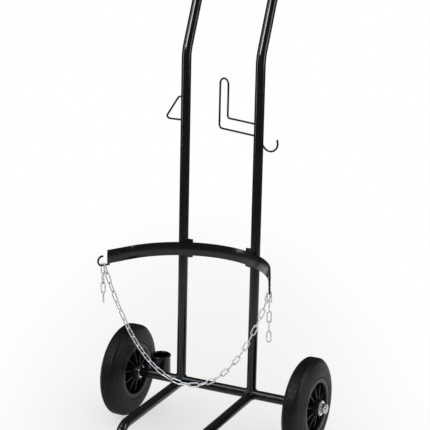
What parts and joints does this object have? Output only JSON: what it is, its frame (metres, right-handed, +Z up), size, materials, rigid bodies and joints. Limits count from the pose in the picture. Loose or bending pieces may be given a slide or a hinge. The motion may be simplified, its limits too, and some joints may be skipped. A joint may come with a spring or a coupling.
{
  "type": "welding gas cylinder cart",
  "caption": "Wheeled cart for welding gas cylinders: leaning tubular frame, curved cradle band, retaining chain, foot rails, wire hose and torch holders, rod cup.",
  "frame": {"origin": "on the floor, under the middle of the cart's overall box", "axes": "+X along the axle to the right as seen from the front, +Y backwards from the feet to the handles, +Z up"},
  "size_m": [0.64, 0.519, 1.2542],
  "materials": {
    "frame_paint": "gloss black powder coat on steel",
    "zinc_plate": "bright zinc plated steel",
    "chain_zinc": "zinc plated steel chain, slightly dulled",
    "grip_rubber": "ribbed soft black rubber",
    "foot_rubber": "moulded black rubber",
    "tyre_rubber": "solid black rubber, slightly dusty",
    "rim_plastic": "moulded black plastic with a low sheen",
    "bush_nylon": "natural nylon"
  },
  "bodies": {
    "root": {"axle_tube": "frame_paint", "upright_left": "frame_paint", "upright_right": "frame_paint", "foot_rail_left": "frame_paint", "foot_rail_right": "frame_paint", "foot_cap_left": "foot_rubber", "foot_cap_right": "foot_rubber", "grip_left": "grip_rubber", "grip_right": "grip_rubber", "cradle_band": "frame_paint", "band_tab_left": "frame_paint", "band_tab_right": "frame_paint", "chain_hook_left": "frame_paint", "chain_hook_right": "frame_paint", "hose_hanger": "frame_paint", "torch_hook": "frame_paint", "rod_guide": "frame_paint", "rod_cup": "frame_paint", "axle_shaft": "zinc_plate", "inner_washer_left": "zinc_plate", "inner_washer_right": "zinc_plate", "outer_washer_left": "zinc_plate", "outer_washer_right": "zinc_plate", "axle_nut_left": "zinc_plate", "axle_nut_right": "zinc_plate", "hook_link_left": "chain_zinc", "hook_link_right": "chain_zinc"},
    "wheel_left": {"rim_left": "rim_plastic", "tyre_left": "tyre_rubber", "bush_inner_left": "bush_nylon", "bush_outer_left": "bush_nylon"},
    "wheel_right": {"rim_right": "rim_plastic", "tyre_right": "tyre_rubber", "bush_inner_right": "bush_nylon", "bush_outer_right": "bush_nylon"},
    "chain": {"chain_links": "chain_zinc"},
    "tail_left": {"chain_tail_left": "chain_zinc"},
    "tail_right": {"chain_tail_right": "chain_zinc"}
  },
  "joints": [
    {"name": "wheel_left_spin", "type": "hinge", "parent": "root", "child": "wheel_left", "pos_m": [-0.264, 0.08296, 0.125], "axis": [1, 0, 0], "continuous": true},
    {"name": "wheel_right_spin", "type": "hinge", "parent": "root", "child": "wheel_right", "pos_m": [0.264, 0.08296, 0.125], "axis": [1, 0, 0], "continuous": true},
    {"name": "chain_swing", "type": "hinge", "parent": "root", "child": "chain", "pos_m": [0, -0.08499, 0.45761], "axis": [1, 0, 0], "range_deg": [-40, 30]},
    {"name": "tail_left_swing", "type": "hinge", "parent": "root", "child": "tail_left", "pos_m": [-0.23304, -0.08979, 0.48072], "axis": [-0.4226, -0.9053, 0.0427], "range_deg": [-18, 0.5]},
    {"name": "tail_right_swing", "type": "hinge", "parent": "root", "child": "tail_right", "pos_m": [0.23304, -0.08979, 0.48072], "axis": [0.4226, -0.9053, 0.0427], "range_deg": [-2, 18]}
  ]
}
